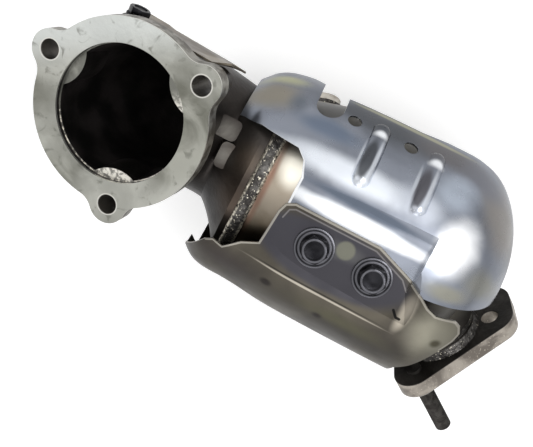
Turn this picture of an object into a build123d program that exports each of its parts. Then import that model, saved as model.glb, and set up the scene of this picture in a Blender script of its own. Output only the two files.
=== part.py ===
"""Close-coupled catalytic converter with a cast inlet elbow and pressed heat shields.

The origin is the centre of the inlet gasket face. +X runs along the can to the
outlet end, +Z points to the side that the inlet faces, and lengths are in mm.
"""
import os
from math import asin, cos, degrees, hypot, radians, sin, sqrt

from build123d import *

os.makedirs("parts", exist_ok=True)

# Can: its axis is parallel to X, beside and below the inlet
can_y = -16.0
can_z = -67.0
substrate_r = 50.8
mat_t = 3.4
shell_t = 1.5
seam_x = 77.0
cone_length = 24.0
lip_length = 7.0
front_brick_length = 26.0
rear_brick_length = 26.0
brick_gap = 4.0
brick_margin = 3.0
cap_depth = 38.0
cap_crown_angle = 5.0

# Inlet flange: three lobes, tilted back from the can
face_tilt = 10.5
bore_r = 35.5
bore_step = 0.5
flange_r = 48.5
flange_t = 10.0
inlet_bolt_circle_r = 48.0
inlet_hole_r = 5.25
inlet_lobe_r = 10.3
inlet_lobe_blend = 11.0
first_hole_angle = 46.7
ledge_r = 18.5
ledge_start = 4.0
ledge_depth = 24.0
bolt_boss_r = 7.5
bolt_boss_depth = 22.0

# Cast elbow between the inlet flange and the can
casting_wall = 5.5
throat_r = 30.0
neck_depth = 28.0
flare_length = 20.0
ring_r = 49.5
pad_corner_r = 3.0
pad_depth = 9.0

# Weld beads
bead_width = 8.4
bead_height = 2.4
small_bead_width = 5.0
small_bead_height = 1.6

# Outlet pipe and flange
outlet_pivot_x = 163.0
outlet_swing = -38.8
outlet_dip = -12.5
pipe_r = 24.0
pipe_t = 1.6
collar_start = 30.0
collar_lap = 9.0
outlet_reach = 83.8
outlet_flange_t = 10.0
outlet_bolt_circle_r = 32.5
outlet_lobe_r = 13.0
outlet_wide_lobe_r = 14.5
outlet_corner_reach = 36.5
outlet_corner_angle = -20.0
outlet_corner_r = 12.8
outlet_hole_r = 5.25
outlet_first_hole = 3.7
stud_r = 5.0
stud_root_r = 4.6
stud_length = 52.0
stud_inside = 2.0
stud_shoulder = 0.5

# Heat shields
sheet_t = 1.0
shield_gap = 10.2
hood_start_x = 53.0
hood_end_drop = 19.5
dome_start_x = 175.0
dome_length = 53.0
flat_tilt = 10.0
flat_end_x = 171.5
flat_end_rise = 4.0
joggle_top = 22.9
joggle_foot = 17.5
joggle_rise = 1.5
rib_radius = 5.4
rib_depth = 3.4
rib_end_bulge = 0.05
rib_xs = (123.6, 156.5)
rib_start = 23.0
rib_end = 52.0
vent_r = 4.0
vent_xs = (108.3, 141.0)
vent_angle = 24.5
lower_dome_start_x = 190.0
lower_dome_length = 42.0
pipe_clearance = 8.0

# Bracket between the can and the back edge of the lower shield
bracket_x = 138.0
bracket_start = -124.0
bracket_arc = 26.0
bracket_foot = 23.0
bracket_top = 20.0
bracket_rise = 4.0
bracket_t = 1.5

# Sensor boss on the inlet cone, under the notch of the front shield
sensor_x = 90.8
sensor_angle = -38.0
sensor_lean = 14.0
sensor_boss_r = 9.0
sensor_boss_rise = 10.0
sensor_thread_r = 6.3
sensor_way_clearance = 1.2
sensor_weld_drop = 4.5
notch_x = 93.8
notch_r = 7.6
notch_height = 23.8

# Shield fixings on the flat
fixing_xs = (119.0, 152.5)
fixing_offset = 11.5
m8_r = 4.0
m8_hex = 13.0
m8_head = 6.4
m8_washer_r = 10.7
m8_washer_t = 1.6
m8_boss_r = 8.5
m8_boss_rise = 4.8
m8_overrun = 0.2
screw_clearance = 0.4

# Small shield over the elbow
m6_x = -15.5
m6_z = -27.0
m6_tab_rise = 0.2
m6_sheet_t = 1.2
m6_r = 3.0
m6_hex = 10.0
m6_head = 4.2
m6_shank = 11.0
m6_hole_depth = 10.5
m6_washer_r = 6.2
m6_washer_t = 1.2
m6_boss_r = 7.5
m6_boss_depth = 16.0
small_rim_depth = 14.0
small_back_depth = 44.0

# Sizes that follow from the values above
mat_r = substrate_r + mat_t
can_r = mat_r + shell_t
shield_r = can_r + shield_gap + sheet_t
lower_r = shield_r + sheet_t
flat_height = can_r + m8_boss_rise + 2 * sheet_t
m8_shank = m8_washer_t + 2 * sheet_t + m8_boss_rise + m8_overrun
m6_tab_y = bore_r + casting_wall + m6_tab_rise
cone_end_x = seam_x + cone_length
shell_start_x = cone_end_x + shell_t
front_brick_x = cone_end_x + lip_length + brick_margin
rear_brick_x = front_brick_x + front_brick_length + brick_gap
bricks_end_x = rear_brick_x + rear_brick_length
shell_end_x = bricks_end_x + brick_margin + lip_length
tilt = radians(face_tilt)

inlet_face = Plane(origin=(0, 0, 0), x_dir=(cos(tilt), 0, sin(tilt)), z_dir=(-sin(tilt), 0, cos(tilt)))
can_axis = Axis((0, can_y, can_z), (1, 0, 0))


def across(x, y_offset=0.0):
    """Plane across the can at x, with +Y to its right and +Z up."""
    return Plane(origin=(x, can_y + y_offset, can_z), x_dir=(0, 1, 0), z_dir=(1, 0, 0))


def along(angle=90.0):
    """Half-plane through the can axis: X to the right, and up is the radius at this angle from +Y."""
    turn = radians(angle)
    return Plane(origin=(0, can_y, can_z), x_dir=(1, 0, 0), z_dir=(0, -sin(turn), cos(turn)))


def radial(x, angle, radius):
    """Plane that faces outwards on the can at x, at an angle from +Y and at a radius."""
    turn = radians(angle)
    centre = (x, can_y + radius * cos(turn), can_z + radius * sin(turn))
    return Plane(origin=centre, x_dir=(1, 0, 0), z_dir=(0, cos(turn), sin(turn)))


def flat_at(x, offset, height):
    """Plane on the flat: X to the right, the offset is away from +Y, the height from the can axis."""
    turn = radians(flat_tilt)
    out = (0, sin(turn), cos(turn))
    centre = (x, can_y + height * out[1] - offset * out[2], can_z + height * out[2] + offset * out[1])
    return Plane(origin=centre, x_dir=(1, 0, 0), z_dir=out)


def flat_section(x):
    """Plane across the can at x, turned so that its vertical is square to the flat."""
    turn = radians(flat_tilt)
    return Plane(origin=(x, can_y, can_z), x_dir=(0, cos(turn), -sin(turn)), z_dir=(1, 0, 0))


def inset(points, depth):
    """Profile points moved towards the can axis, square to the line through their neighbours."""
    moved = []
    for i, (x, r) in enumerate(points):
        x_before, r_before = points[max(i - 1, 0)]
        x_after, r_after = points[min(i + 1, len(points) - 1)]
        run, rise = x_after - x_before, r_after - r_before
        length = hypot(run, rise)
        moved.append((x + depth * rise / length, r - depth * run / length))
    return moved


# Elbow: a straight neck, a bend in the XZ plane, and a flare to the can's ring
into = (sin(tilt), 0, -cos(tilt))
side = (cos(tilt), 0, sin(tilt))
bend_r = (-can_z - neck_depth * cos(tilt)) / (1 - sin(tilt))
bend_end_x = neck_depth * sin(tilt) + bend_r * cos(tilt)
full_turn = 90.0 - face_tilt


def elbow_plane(turn_angle, y_share):
    """Section plane of the elbow after it has turned by an angle from the inlet axis."""
    turn = radians(turn_angle)
    run = neck_depth + bend_r * sin(turn)
    shift = bend_r * (1 - cos(turn))
    centre = (run * into[0] + shift * side[0], can_y * y_share, run * into[2] + shift * side[2])
    heading = (cos(turn) * into[0] + sin(turn) * side[0], 0, cos(turn) * into[2] + sin(turn) * side[2])
    return Plane(origin=centre, x_dir=(0, 1, 0), z_dir=heading)


def elbow_form(wall, overrun):
    """The elbow grown by a wall, run on past its ends by an overrun."""
    taper = bore_r - throat_r
    with BuildPart() as form:
        with BuildSketch(inlet_face.offset(-flange_t + overrun)):
            Circle(bore_r + wall)
        for share, y_share in ((0.0, 0.05), (0.35, 0.15), (0.68, 0.34), (1.0, 0.55)):
            with BuildSketch(elbow_plane(full_turn * share, y_share)):
                Circle(bore_r + wall - taper * (0.2 + 0.8 * share))
        loft()
        flare_end_x = bend_end_x + flare_length * 0.85
        with BuildSketch(across(bend_end_x, can_y * (0.55 - 1.0))):
            Circle(throat_r + wall)
        with BuildSketch(across(bend_end_x + flare_length * 0.42, can_y * (0.62 - 1.0))):
            Circle(throat_r + wall + (ring_r - casting_wall - throat_r) * 0.52)
        with BuildSketch(across(flare_end_x)):
            Circle(ring_r - casting_wall + wall)
        loft()
        with BuildSketch(across(flare_end_x)):
            Circle(ring_r - casting_wall + wall)
        extrude(amount=seam_x - flare_end_x + overrun)
    return form.part


# Inlet casting: flange, elbow and flare in one piece
elbow_outside = elbow_form(casting_wall, 0.0)
with BuildPart() as passage:
    add(elbow_form(-bore_step, flange_t - ledge_start))
    with BuildSketch(inlet_face.offset(-ledge_start)):
        with PolarLocations(inlet_bolt_circle_r, 3, start_angle=first_hole_angle):
            Circle(ledge_r)
    extrude(amount=-ledge_depth, mode=Mode.SUBTRACT)

m6_plane = Plane(origin=(m6_x, m6_tab_y - m6_sheet_t, m6_z), x_dir=(1, 0, 0), z_dir=(0, 1, 0))

# Two pads on the top of the elbow: centre, the way they face, length and width
pads = (
    (throat_r + 20.5, throat_r - 20.0, -throat_r - 1.5, (0, 0.5, 0.87), 13.0, 12.0),
    (throat_r + 25.5, -3.0, 3.0 - throat_r, (0.2, 0.1, 0.97), 8.0, 15.0),
)
with BuildPart() as inlet_casting:
    with BuildSketch(inlet_face) as flange_outline:
        Circle(flange_r)
        with PolarLocations(inlet_bolt_circle_r, 3, start_angle=first_hole_angle):
            Circle(inlet_lobe_r)
        fillet(flange_outline.vertices(), radius=inlet_lobe_blend)
    extrude(amount=-flange_t)
    with BuildSketch(inlet_face.offset(-flange_t / 2)):
        with PolarLocations(inlet_bolt_circle_r, 3, start_angle=first_hole_angle):
            Circle(bolt_boss_r)
    extrude(amount=flange_t / 2 - bolt_boss_depth)
    add(elbow_outside)
    for pad_x, pad_y, pad_z, pad_normal, pad_length, pad_width in pads:
        with BuildSketch(Plane(origin=(pad_x, pad_y, pad_z), x_dir=(1, 0, 0), z_dir=pad_normal)):
            RectangleRounded(pad_length, pad_width, pad_corner_r)
        extrude(amount=-pad_depth)
    with BuildSketch(m6_plane):
        Circle(m6_boss_r)
    extrude(amount=-m6_boss_depth)
    add(passage.part, mode=Mode.SUBTRACT)
    with BuildSketch(inlet_face):
        Circle(bore_r)
    extrude(amount=-ledge_start, mode=Mode.SUBTRACT)
    with BuildSketch(inlet_face):
        with PolarLocations(inlet_bolt_circle_r, 3, start_angle=first_hole_angle):
            Circle(inlet_hole_r)
    extrude(amount=-bolt_boss_depth - 1, mode=Mode.SUBTRACT)
    with BuildSketch(m6_plane):
        Circle(m6_r)
    extrude(amount=-m6_hole_depth, mode=Mode.SUBTRACT)
inlet_casting.part.label = "inlet_casting"
export_step(inlet_casting.part, "parts/inlet_casting.step")


def bead_ring(x, radius, width, height):
    """Weld bead round the can axis: a low crown on a cylinder of this radius."""
    with BuildPart() as ring:
        with BuildSketch(along()):
            with BuildLine():
                ThreePointArc((x - width / 2, radius), (x, radius + height), (x + width / 2, radius))
                Line((x + width / 2, radius), (x - width / 2, radius))
            make_face()
        revolve(axis=can_axis)
    return ring.part


with BuildPart() as inlet_weld_bead:
    add(bead_ring(seam_x, ring_r, bead_width, bead_height))
inlet_weld_bead.part.label = "inlet_weld_bead"
export_step(inlet_weld_bead.part, "parts/inlet_weld_bead.step")

# Outside of the cone, the shell and the weld between them, which the bosses sit on
cone_foot_x = seam_x + bead_width / 2 + 0.5
shoulder_x = shell_start_x - small_bead_width
cone_points = [
    (seam_x, ring_r),
    (cone_foot_x, ring_r),
    (shoulder_x, mat_r),
    (cone_end_x + lip_length, mat_r),
]
with BuildPart() as can_outside:
    with BuildSketch(along()):
        with BuildLine():
            Polyline(
                (seam_x, 0),
                (seam_x, ring_r),
                (cone_foot_x, ring_r),
                (shoulder_x, mat_r),
                (shell_start_x, can_r),
                (shell_end_x, can_r),
                (shell_end_x, 0),
                close=True,
            )
        make_face()
    revolve(axis=can_axis)
    add(bead_ring(seam_x, ring_r, bead_width, bead_height))

# Inlet cone: pressed sheet from the ring to the can
sensor_turn = radians(sensor_angle)
lean = radians(sensor_lean)
sensor_boss_top = ring_r + sensor_boss_rise
sensor_plane = Plane(
    origin=(sensor_x, can_y + sensor_boss_top * cos(sensor_turn), can_z + sensor_boss_top * sin(sensor_turn)),
    x_dir=(cos(lean), sin(lean) * cos(sensor_turn), sin(lean) * sin(sensor_turn)),
    z_dir=(-sin(lean), cos(lean) * cos(sensor_turn), cos(lean) * sin(sensor_turn)),
)
with BuildPart() as sensor_way:
    with BuildSketch(sensor_plane):
        Circle(sensor_thread_r + sensor_way_clearance)
    extrude(amount=-sensor_boss_top / 2)
with BuildPart() as inlet_cone:
    with BuildSketch(along()):
        with BuildLine():
            Polyline(*cone_points, *reversed([(x, r - shell_t) for x, r in cone_points]), close=True)
        make_face()
    revolve(axis=can_axis)
    add(sensor_way.part, mode=Mode.SUBTRACT)
inlet_cone.part.label = "inlet_cone"
export_step(inlet_cone.part, "parts/inlet_cone.step")

# Can shell: a rolled tube over the cone and the cap
with BuildPart() as can_shell:
    with BuildSketch(across(shell_start_x)):
        Circle(can_r)
        Circle(mat_r, mode=Mode.SUBTRACT)
    extrude(amount=shell_end_x - shell_start_x)
can_shell.part.label = "can_shell"
export_step(can_shell.part, "parts/can_shell.step")


def lap_weld(edge_x, reach):
    """Weld in the corner where the shell's edge laps a sheet of the mat's radius."""
    with BuildPart() as weld:
        with BuildSketch(along()):
            with BuildLine():
                Polyline((edge_x, mat_r), (edge_x, can_r), (edge_x + reach, mat_r), close=True)
            make_face()
        revolve(axis=can_axis)
    return weld.part


with BuildPart() as can_front_weld:
    add(lap_weld(shell_start_x, -small_bead_width))
    add(sensor_way.part, mode=Mode.SUBTRACT)
can_front_weld.part.label = "can_front_weld"
export_step(can_front_weld.part, "parts/can_front_weld.step")

# Ceramic bricks, each wrapped in its mat
for place, start_x, length in (
    ("front", front_brick_x, front_brick_length),
    ("rear", rear_brick_x, rear_brick_length),
):
    with BuildPart() as brick:
        with BuildSketch(across(start_x)):
            Circle(substrate_r)
        extrude(amount=length)
    brick.part.label = f"{place}_substrate"
    export_step(brick.part, f"parts/{place}_substrate.step")
    with BuildPart() as mat:
        with BuildSketch(across(start_x)):
            Circle(mat_r)
            Circle(substrate_r, mode=Mode.SUBTRACT)
        extrude(amount=length)
    mat.part.label = f"{place}_support_mat"
    export_step(mat.part, f"parts/{place}_support_mat.step")

# Outlet axis: it leaves the can axis at the pivot, swung towards -Y and dipped
swing = radians(outlet_swing)
dip = radians(outlet_dip)
outlet_dir = Vector(cos(dip) * cos(swing), cos(dip) * sin(swing), sin(dip))
outlet_pivot = Vector(outlet_pivot_x, can_y, can_z)


def outlet_at(reach):
    """Plane square to the outlet axis at this reach from the pivot, with a level X."""
    return Plane(
        origin=outlet_pivot + outlet_dir * reach,
        x_dir=(-sin(swing), cos(swing), 0),
        z_dir=outlet_dir,
    )


def cap_form(wall):
    """Outside of the cap for no wall, or its hollow for the wall of its sheet."""
    lip_x = shell_end_x - lip_length - wall
    length = cap_depth - wall
    radius = mat_r - wall
    crown = radians(cap_crown_angle)
    with BuildPart() as form:
        with BuildSketch(along()):
            with BuildLine():
                Polyline(
                    (shell_end_x, radius),
                    (lip_x, radius),
                    (lip_x, 0),
                    (shell_end_x + length * cos(crown), 0),
                    (shell_end_x + length * cos(crown), radius * sin(crown)),
                )
                EllipticalCenterArc(
                    center=(shell_end_x, 0),
                    x_radius=length,
                    y_radius=radius,
                    start_angle=cap_crown_angle,
                    arc_size=90 - cap_crown_angle,
                )
            make_face()
        revolve(axis=can_axis)
    return form.part


# Outlet cone: a deep pressed cap with a collar for the pipe
collar_end = outlet_reach - outlet_flange_t - 2 * small_bead_width - shell_t
with BuildPart() as outlet_cone:
    add(cap_form(0.0))
    with BuildSketch(outlet_at(collar_start)):
        Circle(pipe_r + shell_t)
    extrude(amount=collar_end - collar_start)
    add(cap_form(shell_t), mode=Mode.SUBTRACT)
    with BuildSketch(outlet_at(collar_start)):
        Circle(pipe_r)
    extrude(amount=outlet_reach - collar_start, mode=Mode.SUBTRACT)
outlet_cone.part.label = "outlet_cone"
export_step(outlet_cone.part, "parts/outlet_cone.step")

crown_share = small_bead_width / 2 / cap_depth
with BuildPart() as can_rear_weld:
    with BuildSketch(along()):
        with BuildLine():
            Polyline(
                (shell_end_x, mat_r),
                (shell_end_x, can_r),
                (shell_end_x + crown_share * cap_depth, mat_r * sqrt(1 - crown_share**2)),
            )
            EllipticalCenterArc(
                center=(shell_end_x, 0),
                x_radius=cap_depth,
                y_radius=mat_r,
                start_angle=90 - degrees(asin(crown_share)),
                arc_size=degrees(asin(crown_share)),
            )
        make_face()
    revolve(axis=can_axis)
can_rear_weld.part.label = "can_rear_weld"
export_step(can_rear_weld.part, "parts/can_rear_weld.step")

# Outlet pipe: a short tube from the collar into the flange
pipe_start = collar_end - collar_lap
with BuildPart() as outlet_pipe:
    with BuildSketch(outlet_at(pipe_start)):
        Circle(pipe_r)
        Circle(pipe_r - pipe_t, mode=Mode.SUBTRACT)
    extrude(amount=outlet_reach - outlet_flange_t * 0.2 - pipe_start)
outlet_pipe.part.label = "outlet_pipe"
export_step(outlet_pipe.part, "parts/outlet_pipe.step")


def pipe_weld(reach, towards):
    """Weld in the corner between the pipe and a face square to it."""
    with BuildPart() as weld:
        with BuildSketch(Plane(origin=outlet_pivot, x_dir=outlet_at(0).x_dir, z_dir=outlet_at(0).y_dir)):
            with BuildLine():
                Polyline(
                    (pipe_r, -reach),
                    (pipe_r + small_bead_height, -reach),
                    (pipe_r, -reach - towards * small_bead_width),
                    close=True,
                )
            make_face()
        revolve(axis=Axis(outlet_pivot, outlet_dir))
    return weld.part


with BuildPart() as collar_weld:
    add(pipe_weld(collar_end, 1))
collar_weld.part.label = "collar_weld"
export_step(collar_weld.part, "parts/collar_weld.step")

with BuildPart() as outlet_flange_weld:
    add(pipe_weld(outlet_reach - outlet_flange_t, -1))
outlet_flange_weld.part.label = "outlet_flange_weld"
export_step(outlet_flange_weld.part, "parts/outlet_flange_weld.step")

# Outlet flange: a thick plate with three lobes, one of them with its stud
outlet_face = outlet_at(outlet_reach)
with BuildPart() as outlet_flange:
    with BuildSketch(outlet_face):
        with PolarLocations(outlet_bolt_circle_r, 3, start_angle=outlet_first_hole):
            Circle(outlet_lobe_r)
        with PolarLocations(outlet_bolt_circle_r, 1, start_angle=outlet_first_hole):
            Circle(outlet_wide_lobe_r)
        with PolarLocations(outlet_corner_reach, 1, start_angle=outlet_corner_angle):
            Circle(outlet_corner_r)
        make_hull()
        Circle(pipe_r, mode=Mode.SUBTRACT)
        with PolarLocations(outlet_bolt_circle_r, 2, start_angle=outlet_first_hole, angular_range=-240):
            Circle(outlet_hole_r, mode=Mode.SUBTRACT)
        with PolarLocations(outlet_bolt_circle_r, 1, start_angle=outlet_first_hole + 120):
            Circle(stud_root_r, mode=Mode.SUBTRACT)
    extrude(amount=-outlet_flange_t)
outlet_flange.part.label = "outlet_flange"
export_step(outlet_flange.part, "parts/outlet_flange.step")

stud_root_length = outlet_flange_t + stud_inside + stud_shoulder
with BuildPart() as outlet_stud:
    with BuildSketch(outlet_face.offset(stud_shoulder)):
        with PolarLocations(outlet_bolt_circle_r, 1, start_angle=outlet_first_hole + 120):
            Circle(stud_root_r)
    extrude(amount=-stud_root_length)
    with BuildSketch(outlet_face.offset(stud_shoulder)):
        with PolarLocations(outlet_bolt_circle_r, 1, start_angle=outlet_first_hole + 120):
            Circle(stud_r)
    extrude(amount=stud_length - stud_root_length)
    stud_end = outlet_stud.faces().sort_by(Axis(outlet_pivot, outlet_dir))[-1]
    chamfer(stud_end.edges(), length=1.0)
outlet_stud.part.label = "outlet_stud"
export_step(outlet_stud.part, "parts/outlet_stud.step")


# Crowns of both shields: how far along the hood, and how far under the full radius
crown_drops = ((0, hood_end_drop), (7, 12.2), (18, 7.3), (31, 4.8), (49, 2.6), (72, 1.2), (96, 0.4))
crown_points = [(hood_start_x + run, shield_r - drop) for run, drop in crown_drops]
lower_drops = ((1, 13.5), (10, 6.5), (30, 3.7), (54, 1.5), (80, 0.5), (106, 0.1))
lower_points = [(hood_start_x + run, lower_r - drop) for run, drop in lower_drops]


def shield_form(points, dome_x, dome_depth, dome_r):
    """Solid of revolution under a shield's crown points and its elliptical dome."""
    start_slope = (points[1][0] - points[0][0], points[1][1] - points[0][1])
    with BuildPart() as form:
        with BuildSketch(along()):
            with BuildLine():
                Spline(*points, (dome_x, dome_r), tangents=[start_slope, (1, 0)], tangent_scalars=(1, 1))
                EllipticalCenterArc(
                    center=(dome_x, 0), x_radius=dome_depth, y_radius=dome_r, start_angle=0, arc_size=90
                )
                Polyline((dome_x + dome_depth, 0), (points[0][0], 0), points[0])
            make_face()
        revolve(axis=can_axis)
    return form.part


def opened(points):
    """Inner points of a shield whose end is open: a sheet inwards, and run out past the end."""
    inner = inset(points, sheet_t)
    (x0, r0), (x1, r1) = inner[0], inner[1]
    return [(x0 - (x1 - x0) * 0.4, r0 - (r1 - r0) * 0.4)] + inner


def flat_cutter(drop, foot):
    """What the flat takes off a shield that lies this far under the top sheet.

    The flat runs from the -Y side to its foot, where the sheet rises again.
    """
    height = flat_height - drop
    run = 3 * (joggle_top - joggle_foot)
    end_x = flat_end_x + drop
    with BuildPart() as cutter:
        with BuildSketch(flat_section(hood_start_x - sheet_t)):
            with BuildLine():
                Polyline(
                    (-shield_r, height),
                    (foot, height),
                    (foot + run, height + 3 * joggle_rise),
                    (foot + run, 2 * shield_r),
                    (-shield_r, 2 * shield_r),
                    close=True,
                )
            make_face()
        extrude(amount=dome_start_x)
        with BuildSketch(along(90.0 + flat_tilt)):
            with BuildLine():
                Polyline(
                    (0, height - shield_r),
                    (end_x, height - shield_r),
                    (end_x, height),
                    (end_x + 3 * flat_end_rise, height + 2 * flat_end_rise),
                    (end_x + 3 * flat_end_rise, 3 * shield_r),
                    (0, 3 * shield_r),
                    close=True,
                )
            make_face()
        extrude(amount=2 * shield_r, both=True, mode=Mode.INTERSECT)
    return cutter.part


def ribs(radius):
    """The round beads that stand out of the front shield, as solids of this radius."""
    centre_r = shield_r - rib_depth
    with BuildPart() as beads:
        for x in rib_xs:
            with BuildSketch(along(rib_start)):
                with Locations((x, centre_r)):
                    Circle(radius)
            revolve(axis=can_axis, revolution_arc=rib_end - rib_start)
            for angle in (rib_start, rib_end):
                with Locations(radial(x, angle, centre_r)):
                    Sphere(radius + rib_end_bulge)
    return beads.part


def plan_prism(points, height):
    """Prism from the can's level plane over points given as x and the offset from the can axis."""
    with BuildPart() as prism:
        with BuildSketch(Plane.XY.offset(can_z)):
            with BuildLine():
                Polyline(*[(x, can_y + offset) for x, offset in points], close=True)
            make_face()
        extrude(amount=height)
    return prism.part


with BuildPart() as fixing_ways:
    for x in fixing_xs:
        with BuildSketch(flat_at(x, fixing_offset, flat_height - m8_shank)):
            Circle(m8_r + screw_clearance)
        extrude(amount=2 * m8_shank)

with BuildPart() as pipe_way:
    with BuildSketch(outlet_at(collar_start)):
        Circle(pipe_r + pipe_clearance)
    extrude(amount=outlet_reach)

# Front shield: a domed shell with a hood, two ribs, a joggled pad and a notch in its rim
far = 2 * shield_r
dome_end_x = dome_start_x + dome_length + 2
hood_end_x = hood_start_x + 43
tab_end_x = dome_start_x - 1
rim_y = 3.0
front_rim = [
    (hood_start_x - 5, -20),
    (hood_start_x + 12, -15),
    (hood_start_x + 27, -8),
    (hood_start_x + 34, -1),
    (hood_start_x + 44, 8.2),
    (hood_start_x + 92, 8),
    (hood_start_x + 108, 4.6),
    (dome_start_x + 10, 4),
    (dome_start_x + 24, 0),
    (dome_end_x, -14),
    (dome_end_x, far),
    (hood_start_x - 5, far),
]
front_upper_edge = [
    (hood_start_x - 5, far),
    (hood_start_x - 5, 32),
    (hood_start_x + 3, 36),
    (hood_start_x + 13, 38.7),
    (hood_start_x + 35, 38.7),
    (hood_start_x + 40, 35.2),
    (hood_end_x, 28),
    (hood_end_x, -12),
    (tab_end_x, -12),
    (tab_end_x, rim_y),
    (dome_start_x + 47, rim_y + 1),
    (dome_start_x + 55, rim_y + 6.5),
    (dome_end_x, rim_y + 7),
    (dome_end_x, far),
]
with BuildPart() as front_keep:
    add(plan_prism(front_upper_edge, far))
    add(plan_prism(front_upper_edge, -far))
    with BuildSketch(Plane(origin=(0, can_y, can_z), x_dir=(1, 0, 0), z_dir=(0, -1, 0))):
        with BuildLine():
            Polyline(*front_rim, close=True)
        make_face()
    extrude(amount=far, both=True, mode=Mode.INTERSECT)
with BuildPart() as front_inside:
    add(shield_form(opened(crown_points), dome_start_x, dome_length - sheet_t, shield_r - sheet_t))
    add(ribs(rib_radius - sheet_t))
    add(flat_cutter(2 * sheet_t, joggle_foot), mode=Mode.SUBTRACT)

with BuildPart() as front_heat_shield:
    add(shield_form(crown_points, dome_start_x, dome_length, shield_r))
    add(ribs(rib_radius))
    add(flat_cutter(sheet_t, joggle_foot), mode=Mode.SUBTRACT)
    add(front_inside.part, mode=Mode.SUBTRACT)
    add(front_keep.part, mode=Mode.INTERSECT)
    with BuildSketch(radial(notch_x, 0, can_r / 2)):
        with Locations((0, notch_r)):
            SlotOverall(2 * notch_height + 4 * notch_r, 2 * notch_r, rotation=90)
    extrude(amount=far, mode=Mode.SUBTRACT)
    for x in vent_xs:
        with BuildSketch(radial(x, vent_angle, can_r)):
            Circle(vent_r)
        extrude(amount=shield_r, mode=Mode.SUBTRACT)
    add(fixing_ways.part, mode=Mode.SUBTRACT)
    add(pipe_way.part, mode=Mode.SUBTRACT)
front_heat_shield.part.label = "front_heat_shield"
export_step(front_heat_shield.part, "parts/front_heat_shield.step")

# Lower shield: the other half shell, with the flat on top that laps the front one
lower_end_x = lower_dome_start_x + 14
lower_upper_edge = [
    (hood_start_x + 2, -far),
    (hood_start_x + 4, -46),
    (hood_start_x + 13.4, -27.5),
    (hood_start_x + 17.2, -24.5),
    (hood_start_x + 23.4, -26.2),
    (hood_start_x + 30.7, -17.5),
    (hood_start_x + 39.2, -12.4),
    (hood_start_x + 40.5, 8),
    (hood_start_x + 42.3, 13),
    (hood_start_x + 47, 15.4),
    (dome_start_x - 26, 15.4),
    (dome_start_x - 6, 8.3),
    (dome_start_x + 4, 4.1),
    (dome_start_x + 9.7, 0.2),
    (dome_start_x + 15.4, -1.7),
    (lower_dome_start_x + 11, 0),
    (lower_dome_start_x + 15.2, -2.5),
    (lower_dome_start_x + 17.8, -7),
    (lower_dome_start_x + 17.2, -13),
    (lower_end_x, -21),
    (lower_dome_start_x + 10.4, -31),
    (lower_dome_start_x + 6.6, -41),
    (lower_dome_start_x + 1.7, -50),
    (lower_dome_start_x + 1.7, -far),
]
lower_lower_edge = [
    (hood_start_x + 9, -far),
    (hood_start_x + 9, -1),
    (lower_dome_start_x, -1),
    (lower_dome_start_x + 10, -14),
    (lower_dome_start_x + 1.7, -50),
    (lower_dome_start_x + 1.7, -far),
]
with BuildPart() as lower_keep:
    add(plan_prism(lower_upper_edge, far))
    add(plan_prism(lower_lower_edge, -far))
with BuildPart() as lower_inside:
    add(
        shield_form(
            opened(lower_points), lower_dome_start_x, lower_dome_length - sheet_t, lower_r - sheet_t
        )
    )
    add(flat_cutter(sheet_t, shield_r), mode=Mode.SUBTRACT)

with BuildPart() as lower_heat_shield:
    add(shield_form(lower_points, lower_dome_start_x, lower_dome_length, lower_r))
    add(flat_cutter(0.0, shield_r), mode=Mode.SUBTRACT)
    add(lower_inside.part, mode=Mode.SUBTRACT)
    add(lower_keep.part, mode=Mode.INTERSECT)
    add(fixing_ways.part, mode=Mode.SUBTRACT)
    add(pipe_way.part, mode=Mode.SUBTRACT)
lower_heat_shield.part.label = "lower_heat_shield"
export_step(lower_heat_shield.part, "parts/lower_heat_shield.step")

# Back bracket: a hat-shaped strip on the can that carries the back edge of the lower shield
hat_half = bracket_top / 2
hat_inside_r = lower_r - sheet_t - 2 * bracket_t
with BuildPart() as back_bracket:
    with BuildSketch(along(bracket_start)):
        with BuildLine():
            Polyline(
                (bracket_x - bracket_foot, can_r),
                (bracket_x - bracket_foot, can_r + bracket_t),
                (bracket_x - hat_half - bracket_rise, can_r + bracket_t),
                (bracket_x - hat_half - bracket_t, far),
                (bracket_x + hat_half + bracket_t, far),
                (bracket_x + hat_half + bracket_rise, can_r + bracket_t),
                (bracket_x + bracket_foot, can_r + bracket_t),
                (bracket_x + bracket_foot, can_r),
                (bracket_x + hat_half + bracket_rise - bracket_t, can_r),
                (bracket_x + hat_half, hat_inside_r),
                (bracket_x - hat_half, hat_inside_r),
                (bracket_x - hat_half - bracket_rise + bracket_t, can_r),
                close=True,
            )
        make_face()
    revolve(axis=can_axis, revolution_arc=bracket_arc)
    add(lower_inside.part, mode=Mode.INTERSECT)
back_bracket.part.label = "back_bracket"
export_step(back_bracket.part, "parts/back_bracket.step")


def elbow_shield_rim(depth, points):
    """Band of sheet on the plane at this depth under the inlet face, on the inner side of its points."""
    with BuildSketch(inlet_face.offset(-depth)) as band:
        with BuildLine():
            Polyline(*points, *[(x, y - m6_sheet_t) for x, y in reversed(points)], close=True)
        make_face()
    return band.sketch


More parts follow.
